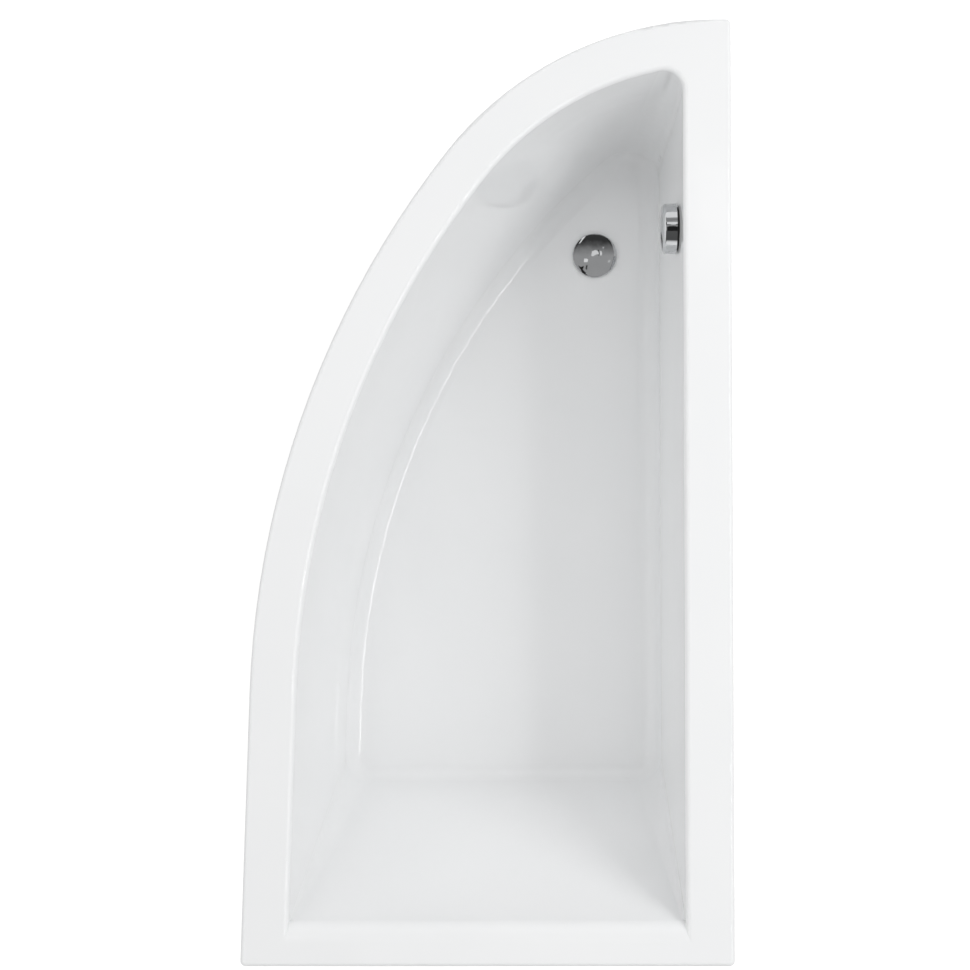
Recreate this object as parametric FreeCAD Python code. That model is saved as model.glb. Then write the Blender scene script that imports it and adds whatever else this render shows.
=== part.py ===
import FreeCAD, Part
import math
import os

# Asymmetric acrylic bath on adjustable legs, with a pop-up waste and a rotary overflow control.
# Millimetres, +Z up. The origin is the middle of the footprint on the ground.
# +X is the wall side, +Y the narrow foot end that holds the waste and the overflow.

V = FreeCAD.Vector

# Overall sizes
LENGTH = 1450.0
WIDTH = 750.0
FLOOR_HEIGHT = 180.0
WELL_DEPTH = 400.0
ACRYLIC = 5.0
LAMINATE = 4.0

# Plan of the rim: short foot edge, two tangent arcs, straight front run that leans out at the head
FOOT_FLAT = 18.0
FOOT_ARC_R = 532.0
FRONT_RUN = 412.0
FRONT_LEAN = 1.7
RIM_CORNER_R = 8.0
RIM_EDGE_R = 6.0
LIP_DEPTH = 40.0
LIP_CORNER_R = 3.0

# Rim widths, and the edge of the opening
RIM_FRONT = 70.0
RIM_WALL = 74.0
RIM_HEAD = 58.0
OPENING_FOOT_R = 30.0
OPENING_HEAD_R = 3.0
OPENING_EDGE_R = 8.0
HEAD_ROLL_R = 37.0

# Floor of the well: how far each wall leans in on its way down, and the round nose at the foot
WALL_INSET = 14.0
FRONT_INSET = 66.0
HEAD_INSET = 209.0
NOSE_INSET = 73.0
NOSE_R = 50.0
FLOOR_RUN = 120.0
FLOOR_HEAD_R = 44.0
FLOOR_FILLET_R = 32.0
FLOOR_FALL = 8.0
LAMINATE_DROP = 45.0

# Clearances
FIT = 0.08
THREAD_GAP = 0.2
REST_GAP = 0.3
OVERRUN = 2.0
TINY = 0.001

# Waste fitting
DRAIN_FROM_WALL = 106.0
DRAIN_FROM_FOOT = 170.0
RECESS_R = 37.0
RECESS_DROP = 4.0
WASTE_HOLE_R = 27.0
FLANGE_R = 36.0
FLANGE_T = 2.5
FLANGE_DISH = 1.2
GASKET_TOP_T = 1.5
GASKET_LOW_T = 3.0
TAIL_R = 23.0
TAIL_WALL = 3.0
TAIL_LENGTH = 36.0
HUB_R = 7.0
HUB_DROP = 6.0
HUB_LENGTH = 14.0
SPOKE_WIDTH = 3.0
SPOKE_DEPTH = 6.0
SPOKE_COUNT = 3
CUP_WALL = 3.5
CUP_FLANGE_T = 4.0
CUP_FLOOR_GAP = 1.0

# Pop-up plug
PLUG_R = 37.0
PLUG_EDGE = 2.5
PLUG_RISE = 6.0
PLUG_BOSS_R = 8.0
PLUG_BOSS_LENGTH = 6.0
PLUG_HOLE_DEPTH = 1.5
PLUG_SEAL_T = 1.0
PLUG_SEAL_R = 27.0
PLUG_SEAL_WIDTH = 5.5
STEM_R = 4.0

# Horizontal inlet between the waste and the overflow pipe, with the rocker inside it
SHOE_DROP = 52.0
SHOE_BORE_R = 13.0
SHOE_WALL = 3.0
SHOE_END_GAP = 1.0
PIVOT_REACH = 80.0
ROCKER_PIN_R = 2.5
ROCKER_PIN_HEAD_R = 5.0
ROCKER_PIN_HEAD_T = 2.5
ROCKER_HUB_R = 6.5
ROCKER_HUB_WIDTH = 12.0
ARM_WIDTH = 8.0
ARM_T = 5.0
ARM_OVERHANG = 3.0

# Overflow pipe, its sockets and union nuts
PIPE_R = 14.0
PIPE_WALL = 2.0
SOCKET_WALL = 3.8
SOCKET_DEPTH = 25.0
SHOE_SHOULDER = 24.0
HEAD_SHOULDER = 34.0
SEAL_T = 4.0
NUT_GRIP = 12.0
NUT_LIP = 3.0
NUT_WALL = 3.5
NUT_SIDES = 10
GUIDE_T = 3.0
GUIDE_HOLE_R = 3.2
GUIDE_HOLES = 4

# Overflow head, from the wall towards the outside and towards the bather
OVERFLOW_DROP = 90.0
OVERFLOW_HOLE_R = 27.0
OVERFLOW_GASKET_T = 3.0
HEAD_BORE_R = 24.0
HEAD_WALL = 3.5
HEAD_FLANGE_R = 36.0
HEAD_FLANGE_T = 4.0
ROD_SETBACK = 25.0
FACE_GASKET_T = 2.5
BUSH_FLANGE_R = 34.0
BUSH_FLANGE_T = 3.0
BUSH_WALL = 2.8
BUSH_REACH = 12.0
BUSH_HUB_R = 8.0
BUSH_HUB_LENGTH = 14.0

# Knob, spindle and crank
KNOB_R = 40.0
KNOB_TAPER = 2.0
KNOB_DEPTH = 25.0
KNOB_DOME = 4.0
KNOB_EDGE_R = 6.0
KNOB_WALL = 3.0
KNOB_GAP = 3.0
KNOB_WALL_GAP = 1.0
KNOB_BOSS_R = 9.0
KNOB_TURN = 90.0
SPINDLE_R = 4.0
SPINDLE_DEPTH = 12.0
SET_SCREW_R = 2.0
CRANK_R = 9.0
CRANK_PIN_R = 2.0
CRANK_DISC_R = 13.0
CRANK_DISC_T = 5.0
YOKE_GAP = 1.5
YOKE_T = 6.0
YOKE_BAR = 4.0
SLOT_GAP = 0.6
ROD_R = 2.5
ROD_TIP_R = 4.0

# Shallow trap and outlet
OUTLET_R = 20.0
OUTLET_WALL = 3.0
OUTLET_NECK = 20.0
TRAP_GROUND_GAP = 8.0
TRAP_BEND_R = 30.0
TRAP_ELBOW_R = 28.0
TRAP_COLLAR = 15.0
SLEEVE_GRIP = 10.0
SLEEVE_WALL = 4.0
BEAD_HEIGHT = 2.0
BEAD_WIDTH = 4.0
OUTLET_SETBACK = 45.0

# Base board, rails and legs
BOARD_T = 15.0
BOARD_MARGIN = 48.0
BOARD_DRAIN_GAP = 120.0
RAIL_WIDTH = 40.0
RAIL_DEPTH = 25.0
RAIL_WALL = 2.5
RAIL_END = 22.0
RAIL_HEAD_SETBACK = 85.0
RAIL_FOOT_SETBACK = 60.0
LEG_INSET = 50.0
STUD_R = 6.0
STUD_ABOVE = 45.0
STUD_IN_PAD = 20.0
STUD_HOLE_GAP = 0.5
LEG_NUT_FLATS = 19.0
LEG_NUT_T = 10.0
PAD_R = 25.0
PAD_RIM = 6.0
PAD_HEIGHT = 28.0
PAD_NECK_R = 11.0
SCREW_R = 2.0
SCREW_LENGTH = 14.0
SCREW_HEAD_R = 4.5
SCREW_HEAD_T = 3.0
SCREW_SHARES = (0.15, 0.5, 0.85)

# Timber strips under the rim
BATTEN_WALL_WIDTH = 25.0
BATTEN_WALL_T = 18.0
BATTEN_WALL_END = 130.0
BATTEN_HEAD_WIDTH = 16.0
BATTEN_HEAD_T = 30.0
BATTEN_HEAD_END = 55.0


def toward(angle):
    """Unit vector in plan, at an angle from +X."""
    return V(math.cos(math.radians(angle)), math.sin(math.radians(angle)), 0)


# Direction in plan that the straight front run faces
FRONT_TURN = 180 - FRONT_LEAN
FRONT_OUT = toward(FRONT_TURN)


def front_edge_x(reach, y):
    """X of the straight part of a front edge."""
    return (reach - FRONT_OUT.y * y) / FRONT_OUT.x


def closing_arc(centre, radius, reach, y):
    """Arc tangent to a circle and, at the given y, to a front run: centre, radius, turn at the circle."""
    end = V(front_edge_x(reach, y), y, 0)
    apart = centre - end
    closing = (radius ** 2 - apart.Length ** 2) / (2 * (apart.dot(FRONT_OUT) + radius))
    middle = end - FRONT_OUT * closing
    return middle, closing, math.degrees(math.atan2(centre.y - middle.y, centre.x - middle.x))


def front_corner(reach, head, radius):
    """Centre of the corner between a front edge and a head edge."""
    return V(front_edge_x(reach - radius, head + radius), head + radius, 0)


RIM_HEIGHT = FLOOR_HEIGHT + WELL_DEPTH
REACH = FRONT_OUT.dot(V(RIM_CORNER_R - WIDTH / 2, RIM_CORNER_R - LENGTH / 2, 0)) + RIM_CORNER_R
FOOT_CENTRE = V(WIDTH / 2 - FOOT_FLAT, LENGTH / 2 - FOOT_ARC_R, 0)
FRONT_CENTRE, FRONT_R, FOOT_TURN = closing_arc(FOOT_CENTRE, FOOT_ARC_R, REACH, FRONT_RUN - LENGTH / 2)

# Opening of the well at rim level
OPEN_RIGHT = WIDTH / 2 - RIM_WALL
OPEN_HEAD = RIM_HEAD - LENGTH / 2
OPEN_REACH = REACH - RIM_FRONT
OPEN_LEFT = front_edge_x(OPEN_REACH, OPEN_HEAD)

# Floor of the well
FLOOR_RIGHT = OPEN_RIGHT - WALL_INSET
FLOOR_HEAD = OPEN_HEAD + HEAD_INSET
FLOOR_REACH = OPEN_REACH - FRONT_INSET
FLOOR_FOOT = LENGTH / 2 - RIM_FRONT - NOSE_INSET
NOSE_CENTRE = V(FLOOR_RIGHT - NOSE_R, FLOOR_FOOT - NOSE_R, 0)
FLOOR_CENTRE, FLOOR_R, NOSE_TURN = closing_arc(NOSE_CENTRE, NOSE_R, FLOOR_REACH, FLOOR_HEAD + FLOOR_RUN)
FLOOR_MIDDLE = (FLOOR_HEAD + FLOOR_FOOT) / 2
FLOOR_SLOPE = FLOOR_FALL / (FLOOR_FOOT - FLOOR_HEAD)


def floor_level(y):
    """Height of the well floor, which falls towards the foot."""
    return FLOOR_HEIGHT - (y - FLOOR_MIDDLE) * FLOOR_SLOPE


def outline(arcs, grow=0):
    """Closed wire through a ring of arcs, with straight runs where two arcs don't meet."""
    bends = []
    for centre, radius, start, stop in arcs:
        bends.append([centre + toward(a) * (radius + grow) for a in (start, (start + stop) / 2, stop)])
    edges = []
    for here, following in zip(bends, bends[1:] + bends[:1]):
        edges.append(Part.Arc(*here).toShape())
        if (following[0] - here[2]).Length > TINY:
            edges.append(Part.makeLine(here[2], following[0]))
    return Part.Wire(edges)


def rim_arcs(inset, corner):
    """Rim outline, set in by a wall."""
    right = WIDTH / 2 - inset
    foot = LENGTH / 2 - inset
    return [
        (V(right - corner, foot - corner, 0), corner, 0, 90),
        (FOOT_CENTRE, FOOT_ARC_R - inset, 90, FOOT_TURN),
        (FRONT_CENTRE, FRONT_R - inset, FOOT_TURN, FRONT_TURN),
        (front_corner(REACH - inset, -foot, corner), corner, FRONT_TURN, 270),
        (V(right - corner, corner - foot, 0), corner, 270, 360),
    ]


def opening_corner():
    """Centre of the corner between the wall side and the foot arc, and where that corner ends."""
    radius = FOOT_ARC_R - RIM_FRONT - OPENING_FOOT_R
    across = OPEN_RIGHT - OPENING_FOOT_R - FOOT_CENTRE.x
    up = math.sqrt(radius ** 2 - across ** 2)
    return FOOT_CENTRE + V(across, up, 0), math.degrees(math.atan2(up, across))


def split(arcs, turns):
    """The same ring of arcs, cut where it faces the given directions."""
    pieces = []
    for centre, radius, start, stop in arcs:
        cuts = [start] + [turn for turn in turns if start < turn < stop] + [stop]
        pieces += [(centre, radius, *ends) for ends in zip(cuts, cuts[1:])]
    return pieces


def opening_arcs():
    """Opening at rim level."""
    corner, corner_turn = opening_corner()
    head = OPENING_HEAD_R
    arcs = [
        (corner, OPENING_FOOT_R, 0, corner_turn),
        (FOOT_CENTRE, FOOT_ARC_R - RIM_FRONT, corner_turn, FOOT_TURN),
        (FRONT_CENTRE, FRONT_R - RIM_FRONT, FOOT_TURN, FRONT_TURN),
        (front_corner(OPEN_REACH, OPEN_HEAD, head), head, FRONT_TURN, 270),
        (V(OPEN_RIGHT - head, OPEN_HEAD + head, 0), head, 270, 360),
    ]
    return split(arcs, [NOSE_TURN])


def floor_arcs():
    """Floor of the well: the nose, the long front curve and the two head corners."""
    head = FLOOR_HEAD_R
    arcs = [
        (NOSE_CENTRE, NOSE_R, 0, NOSE_TURN),
        (FLOOR_CENTRE, FLOOR_R, NOSE_TURN, FRONT_TURN),
        (front_corner(FLOOR_REACH, FLOOR_HEAD, head), head, FRONT_TURN, 270),
        (V(FLOOR_RIGHT - head, FLOOR_HEAD + head, 0), head, 270, 360),
    ]
    return split(arcs, [opening_corner()[1], FOOT_TURN])


def well_arcs(level):
    """Plan of the well at a height: its walls are straight between arcs that face the same way."""
    share = (RIM_HEIGHT - level) / WELL_DEPTH
    arcs = []
    for (top, wide, start, stop), (low, narrow, _, _) in zip(opening_arcs(), floor_arcs()):
        arcs.append((top + (low - top) * share, wide + (narrow - wide) * share, start, stop))
    return arcs


def well(grow):
    """Solid of the well, grown outwards by a wall, cut by the tilted floor and rounded along it."""
    deepest = FLOOR_HEIGHT - FLOOR_FALL
    top = outline(well_arcs(RIM_HEIGHT), grow)
    top.translate(V(0, 0, RIM_HEIGHT))
    bottom = outline(well_arcs(deepest), grow)
    bottom.translate(V(0, 0, deepest - grow))
    above = block(V(-WIDTH, -LENGTH, FLOOR_HEIGHT - grow), V(WIDTH, LENGTH, RIM_HEIGHT + FLOOR_FALL))
    tilt = -math.degrees(math.atan(FLOOR_SLOPE))
    above.rotate(V(0, FLOOR_MIDDLE, FLOOR_HEIGHT - grow), V(1, 0, 0), tilt)
    solid = Part.makeLoft([top, bottom], True, True).common(above)
    floor = min(solid.Faces, key=lambda face: face.CenterOfMass.z)
    return solid.makeFillet(FLOOR_FILLET_R + grow, floor.Edges)


def prism(wire, low, high):
    """Flat outline raised between two heights."""
    solid = Part.Face(wire).extrude(V(0, 0, high - low))
    solid.translate(V(0, 0, low))
    return solid


def rod(radius, start, stop):
    """Round bar between two points."""
    return Part.makeCylinder(radius, (stop - start).Length, start, stop - start)


def ring(outer, inner, start, stop):
    """Round tube or washer between two points."""
    extra = (stop - start).normalize() * OVERRUN
    return rod(outer, start, stop).cut(rod(inner, start - extra, stop + extra))


def block(low, high):
    """Box between two corners."""
    return Part.makeBox(high.x - low.x, high.y - low.y, high.z - low.z, low)


def turned(points, origin, axis):
    """Solid of revolution from points given as distance along the axis and radius."""
    side = V(0, 0, 1) if abs(axis.z) < TINY else V(1, 0, 0)
    corners = [origin + axis * along + side * radius for along, radius in points]
    face = Part.Face(Part.makePolygon(corners + corners[:1]))
    return face.revolve(origin, axis, 360)


def hexagon_nut(centre, low, high, bore):
    """Leg nut between two heights."""
    radius = LEG_NUT_FLATS / 2 / math.cos(math.radians(30))
    corners = [centre + toward(60 * i) * radius for i in range(7)]
    nut = prism(Part.makePolygon(corners), low, high)
    return nut.cut(rod(bore, centre + V(0, 0, low - OVERRUN), centre + V(0, 0, high + OVERRUN)))


def gripped(radius, start, stop):
    """Faceted outside of a plastic union nut, for a bar from start to stop."""
    axis = (stop - start).normalize()
    step = 360 / NUT_SIDES
    face = Part.Face(Part.makePolygon([toward(step * i) * radius for i in range(NUT_SIDES + 1)]))
    solid = face.extrude(V(0, 0, (stop - start).Length))
    solid.Placement = FreeCAD.Placement(start, FreeCAD.Rotation(V(0, 0, 1), axis))
    return solid


def spokes(inner, outer, start, stop):
    """Radial arms between a hub and a tube, spread evenly about the line from start to stop."""
    axis = (stop - start).normalize()
    arms = []
    for i in range(SPOKE_COUNT):
        low = V(inner, -SPOKE_WIDTH / 2, 0)
        arm = block(low, V(outer, SPOKE_WIDTH / 2, (stop - start).Length))
        arm.rotate(V(0, 0, 0), V(0, 0, 1), 90 + 360 / SPOKE_COUNT * i)
        arm.Placement = FreeCAD.Placement(start, FreeCAD.Rotation(V(0, 0, 1), axis)).multiply(arm.Placement)
        arms.append(arm)
    return arms


# Places of the fittings, all taken from the floor and the walls
UP = V(0, 0, 1)
DRAIN_X = FLOOR_RIGHT - DRAIN_FROM_WALL
DRAIN_Y = FLOOR_FOOT - DRAIN_FROM_FOOT
SEAT_Z = floor_level(DRAIN_Y) - RECESS_DROP
UNDER_SEAT_Z = SEAT_Z - ACRYLIC - LAMINATE
SHOE_Z = SEAT_Z - SHOE_DROP
KNOB_Z = RIM_HEIGHT - OVERFLOW_DROP
WALL_X = OPEN_RIGHT - WALL_INSET * OVERFLOW_DROP / WELL_DEPTH
HEAD_X = WALL_X + ACRYLIC + LAMINATE + OVERFLOW_GASKET_T
ROD_X = HEAD_X + ROD_SETBACK
PIVOT_X = DRAIN_X + PIVOT_REACH
BUSH_X = WALL_X - FACE_GASKET_T
KNOB_X = BUSH_X - BUSH_FLANGE_T - KNOB_GAP
KNOB_BACK_X = OPEN_RIGHT - WALL_INSET * (OVERFLOW_DROP + KNOB_R) / WELL_DEPTH - KNOB_WALL_GAP

# Linkage: half the knob's turn each side of level, and the tilt of the rocker at rest
ROD_HALF_TRAVEL = CRANK_R * math.sin(math.radians(KNOB_TURN / 2))
ROCKER_TILT = math.degrees(math.asin(ROD_HALF_TRAVEL / (ROD_X - PIVOT_X)))
TILT_SIN = math.sin(math.radians(ROCKER_TILT))
TILT_COS = math.cos(math.radians(ROCKER_TILT))
STEM_TIP_Z = SHOE_Z + (ARM_T / 2 + STEM_R + REST_GAP - PIVOT_REACH * TILT_SIN) / TILT_COS
ROD_TIP_Z = SHOE_Z + (ARM_T / 2 + ROD_TIP_R + REST_GAP + (ROD_X - PIVOT_X) * TILT_SIN) / TILT_COS

SHELL_OUT = well(ACRYLIC)
LAMINATE_OUT = well(ACRYLIC + LAMINATE)
WELL_IN = well(0)


def at_drain(z):
    """Point on the waste's axis."""
    return V(DRAIN_X, DRAIN_Y, z)


def at_pipe(z):
    """Point on the overflow pipe's axis."""
    return V(ROD_X, DRAIN_Y, z)


def at_knob(x):
    """Point on the knob's axis."""
    return V(x, DRAIN_Y, KNOB_Z)


def fitting_holes():
    """Bars that cut the waste and overflow holes."""
    waste = rod(WASTE_HOLE_R, at_drain(UNDER_SEAT_Z - OVERRUN), at_drain(SEAT_Z + OVERRUN))
    overflow = rod(OVERFLOW_HOLE_R, at_knob(KNOB_X), at_knob(ROD_X))
    return [waste, overflow]


def head_roll_centre():
    """Middle of the roll over the head edge, at X = 0, and the direction that the backrest faces."""
    lean = math.atan((FLOOR_HEAD - OPEN_HEAD) / (RIM_HEIGHT - floor_level(FLOOR_HEAD)))
    tangent = HEAD_ROLL_R * math.tan((math.pi / 2 - lean) / 2)
    return V(0, OPEN_HEAD - tangent, RIM_HEIGHT - HEAD_ROLL_R), V(0, math.cos(lean), math.sin(lean))


def above_roll(radius, top):
    """Bar across the head edge, from a roll of the given radius up to a height."""
    centre, inward = head_roll_centre()
    reach = OPENING_EDGE_R + ACRYLIC
    start = centre + UP * radius
    stop = centre + inward * radius
    edges = [
        Part.Arc(start, centre + (UP + inward).normalize() * radius, stop).toShape(),
        Part.makeLine(stop, V(0, stop.y, top)),
        Part.makeLine(V(0, stop.y, top), V(0, start.y, top)),
        Part.makeLine(V(0, start.y, top), start),
    ]
    bar = Part.Face(Part.Wire(edges)).extrude(V(OPEN_RIGHT - OPEN_LEFT + 2 * reach, 0, 0))
    return bar.translated(V(OPEN_LEFT - reach, 0, 0))


def cheek(section, along):
    """Block beside the roll, which carries a side wall and its rounded edge on towards the head."""
    solid = Part.Face(Part.makePolygon(section + section[:1])).extrude(along)
    edge = min(solid.Edges, key=lambda found: (found.CenterOfMass - section[0] - along / 2).Length)
    return solid.makeFillet(OPENING_EDGE_R, [edge])


def head_cheeks():
    """The blocks beside the roll, on the front side and on the wall side."""
    centre, inward = head_roll_centre()
    low = centre.z
    run = inward.y * HEAD_ROLL_R
    share = (RIM_HEIGHT - low) / WELL_DEPTH
    sides = [
        (-WIDTH / 2, front_edge_x(OPEN_REACH, centre.y),
         front_edge_x(OPEN_REACH - FRONT_INSET * share, centre.y), V(front_edge_x(0, run), run, 0)),
        (WIDTH / 2, OPEN_RIGHT, OPEN_RIGHT - WALL_INSET * share, V(0, run, 0)),
    ]
    blocks = []
    for outside, high_x, low_x, along in sides:
        places = [(high_x, RIM_HEIGHT), (low_x, low), (outside, low), (outside, RIM_HEIGHT)]
        blocks.append(cheek([V(x, centre.y, z) for x, z in places], along))
    return blocks


def bath_shell():
    """Acrylic moulding: rim with a turned-down lip, well, rolled head edge, waste recess and holes."""
    rim = prism(outline(rim_arcs(0, RIM_CORNER_R)), RIM_HEIGHT - LIP_DEPTH, RIM_HEIGHT)
    top = max(rim.Faces, key=lambda face: face.CenterOfMass.z)
    rim = rim.makeFillet(RIM_EDGE_R, top.Edges)
    under = outline(rim_arcs(ACRYLIC, LIP_CORNER_R))
    rim = rim.cut(prism(under, RIM_HEIGHT - LIP_DEPTH - OVERRUN, RIM_HEIGHT - ACRYLIC))
    recess_low = rod(RECESS_R + ACRYLIC, at_drain(SEAT_Z - ACRYLIC), at_drain(SEAT_Z))
    shell = rim.fuse([SHELL_OUT, recess_low]).cut(WELL_IN).removeSplitter()
    top = max(shell.Faces, key=lambda face: face.CenterOfMass.z)
    inner = [wire for wire in top.Wires if not wire.isSame(top.OuterWire)]
    shell = shell.makeFillet(OPENING_EDGE_R, inner[0].Edges)
    hollow = above_roll(HEAD_ROLL_R, RIM_HEIGHT + OVERRUN).cut(head_cheeks())
    shell = shell.fuse(above_roll(HEAD_ROLL_R - ACRYLIC, RIM_HEIGHT)).cut(hollow)
    recess = rod(RECESS_R, at_drain(SEAT_Z), at_drain(FLOOR_HEIGHT + RECESS_DROP))
    return shell.cut([recess] + fitting_holes()).removeSplitter()


def shell_laminate():
    """Glass-fibre skin on the outside of the well, up to below the rim."""
    low = rod(RECESS_R + ACRYLIC + LAMINATE, at_drain(UNDER_SEAT_Z), at_drain(SEAT_Z))
    inside = rod(RECESS_R + ACRYLIC, at_drain(SEAT_Z - ACRYLIC), at_drain(SEAT_Z + OVERRUN))
    skin = LAMINATE_OUT.fuse(low).cut([SHELL_OUT, inside])
    above = block(V(-WIDTH, -LENGTH, RIM_HEIGHT - LAMINATE_DROP), V(WIDTH, LENGTH, RIM_HEIGHT + OVERRUN))
    return skin.cut([above] + fitting_holes())


def arc_x(centre, radius, reach, y):
    """X of a front curve: its long arc, or the straight edge past the end of that arc."""
    if y < centre.y + radius * FRONT_OUT.y:
        return front_edge_x(reach, y)
    return centre.x - math.sqrt(radius ** 2 - (y - centre.y) ** 2)


BOARD_HEAD = FLOOR_HEAD + BOARD_MARGIN
BOARD_FOOT = DRAIN_Y - BOARD_DRAIN_GAP
BOARD_LOW = floor_level(BOARD_FOOT) - ACRYLIC - LAMINATE - BOARD_T
RAILS = {"head": BOARD_HEAD + RAIL_HEAD_SETBACK, "foot": BOARD_FOOT - RAIL_FOOT_SETBACK}


def board_front_x(y):
    """X of the board's front edge."""
    return arc_x(FLOOR_CENTRE, FLOOR_R - BOARD_MARGIN, FLOOR_REACH - BOARD_MARGIN, y)


def leg_places(y):
    """Leg axes at the front and the wall end of a rail."""
    front = arc_x(FRONT_CENTRE, FRONT_R, REACH, y) + LEG_INSET
    return {"front": V(front, y, 0), "wall": V(WIDTH / 2 - LEG_INSET, y, 0)}


def screw_places(y):
    """Screws along a rail, shared out over the width of the board there."""
    left = board_front_x(y)
    right = FLOOR_RIGHT - BOARD_MARGIN
    return [V(left + (right - left) * share, y, 0) for share in SCREW_SHARES]


def rail_screws(y):
    """Round-headed screws up through the rail into the board."""
    under = BOARD_LOW - RAIL_WALL
    screws = []
    for place in screw_places(y):
        shank = rod(SCREW_R, place + UP * under, place + UP * (under + SCREW_LENGTH))
        head = rod(SCREW_HEAD_R, place + UP * (under - SCREW_HEAD_T), place + UP * under)
        screws.append(shank.fuse(head).removeSplitter())
    return Part.makeCompound(screws)


def base_board():
    """Chipboard panel under the floor, with its top cut to the fall of the floor."""
    right = FLOOR_RIGHT - BOARD_MARGIN
    bend = FLOOR_CENTRE.y + (FLOOR_R - BOARD_MARGIN) * FRONT_OUT.y
    start = V(board_front_x(BOARD_FOOT), BOARD_FOOT, 0)
    middle_y = (BOARD_FOOT + bend) / 2
    middle = V(board_front_x(middle_y), middle_y, 0)
    stop = V(board_front_x(bend), bend, 0)
    corners = [stop, V(board_front_x(BOARD_HEAD), BOARD_HEAD, 0)]
    corners += [V(right, BOARD_HEAD, 0), V(right, BOARD_FOOT, 0), start]
    edges = [Part.Arc(start, middle, stop).toShape()] + Part.makePolygon(corners).Edges
    board = prism(Part.Wire(edges), BOARD_LOW, FLOOR_HEIGHT + FLOOR_FALL)
    return board.cut([LAMINATE_OUT] + [rail_screws(y) for y in RAILS.values()])


def rail(y):
    """Steel channel, open downwards, drilled for two legs and the board screws."""
    legs = leg_places(y)
    low = V(legs["front"].x - RAIL_END, y - RAIL_WIDTH / 2, BOARD_LOW - RAIL_DEPTH)
    high = V(legs["wall"].x + RAIL_END, y + RAIL_WIDTH / 2, BOARD_LOW)
    wall = V(0, RAIL_WALL, 0)
    inside = block(low + wall - V(OVERRUN, 0, OVERRUN), high - wall + V(OVERRUN, 0, -RAIL_WALL))
    cuts = [inside]
    for place in legs.values():
        cuts.append(rod(STUD_R + STUD_HOLE_GAP, place, place + UP * RIM_HEIGHT))
    for place in screw_places(y):
        cuts.append(rod(SCREW_R + THREAD_GAP, place, place + UP * RIM_HEIGHT))
    return block(low, high).cut(cuts)


def leg_nuts(low, high):
    """One nut on each leg between two heights."""
    places = [place for y in RAILS.values() for place in leg_places(y).values()]
    return Part.makeCompound([hexagon_nut(place, low, high, STUD_R + FIT) for place in places])


def foot_pad(place):
    """Moulded pad with a flared foot and a blind socket for the stud."""
    profile = [(0, 0), (0, PAD_R), (PAD_RIM, PAD_R), (PAD_HEIGHT, PAD_NECK_R), (PAD_HEIGHT, 0)]
    socket = rod(STUD_R, place + UP * (PAD_HEIGHT - STUD_IN_PAD), place + UP * (PAD_HEIGHT + OVERRUN))
    return turned(profile, place, UP).cut(socket)


def foot_stud(place):
    """Stud from the pad up through the rail."""
    return rod(STUD_R, place + UP * (PAD_HEIGHT - STUD_IN_PAD), place + UP * (BOARD_LOW + STUD_ABOVE))


def rim_batten_wall():
    """Strip under the wall-side rim, against the lip."""
    right = WIDTH / 2 - ACRYLIC
    end = LENGTH / 2 - BATTEN_WALL_END
    top = RIM_HEIGHT - ACRYLIC
    return block(V(right - BATTEN_WALL_WIDTH, -end, top - BATTEN_WALL_T), V(right, end, top))


def rim_batten_head():
    """Strip under the head-end rim, against the lip."""
    head = ACRYLIC - LENGTH / 2
    end = WIDTH / 2 - BATTEN_HEAD_END
    top = RIM_HEIGHT - ACRYLIC
    return block(V(-end, head, top - BATTEN_HEAD_T), V(end, head + BATTEN_HEAD_WIDTH, top))


FLANGE_Z = SEAT_Z + GASKET_TOP_T
FLANGE_TOP = FLANGE_Z + FLANGE_T
PLUG_Z = FLANGE_TOP + PLUG_SEAL_T
CUP_TOP = UNDER_SEAT_Z - GASKET_LOW_T
CUP_BORE_R = TAIL_R + THREAD_GAP
CUP_FLOOR = SHOE_Z - SHOE_BORE_R - CUP_FLOOR_GAP
NECK_LOW = CUP_FLOOR - CUP_WALL - OUTLET_NECK
OUTLET_BORE_R = OUTLET_R - OUTLET_WALL
SHOE_TOP = SHOE_Z + SHOE_SHOULDER + SOCKET_DEPTH
SOCKET_BORE_R = PIPE_R + THREAD_GAP
SOCKET_R = SOCKET_BORE_R + SOCKET_WALL


def drain_flange():
    """Ring with a dished lip, a threaded tail and a hub that guides the stem."""
    bore = TAIL_R - TAIL_WALL
    low = SEAT_Z - TAIL_LENGTH
    profile = [
        (low, bore), (low, TAIL_R), (FLANGE_Z, TAIL_R), (FLANGE_Z, FLANGE_R),
        (FLANGE_TOP - FLANGE_DISH, FLANGE_R), (FLANGE_TOP, FLANGE_R - FLANGE_T), (FLANGE_TOP, bore),
    ]
    flange = turned(profile, at_drain(0), UP)
    hub_top = SEAT_Z - HUB_DROP
    arms_low = hub_top - (HUB_LENGTH + SPOKE_DEPTH) / 2
    arms = spokes(0, bore + TAIL_WALL / 2, at_drain(arms_low), at_drain(arms_low + SPOKE_DEPTH))
    hub = rod(HUB_R, at_drain(hub_top - HUB_LENGTH), at_drain(hub_top))
    hole = rod(STEM_R + FIT, at_drain(low), at_drain(SEAT_Z))
    return flange.fuse(arms + [hub]).cut(hole).removeSplitter()


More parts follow.
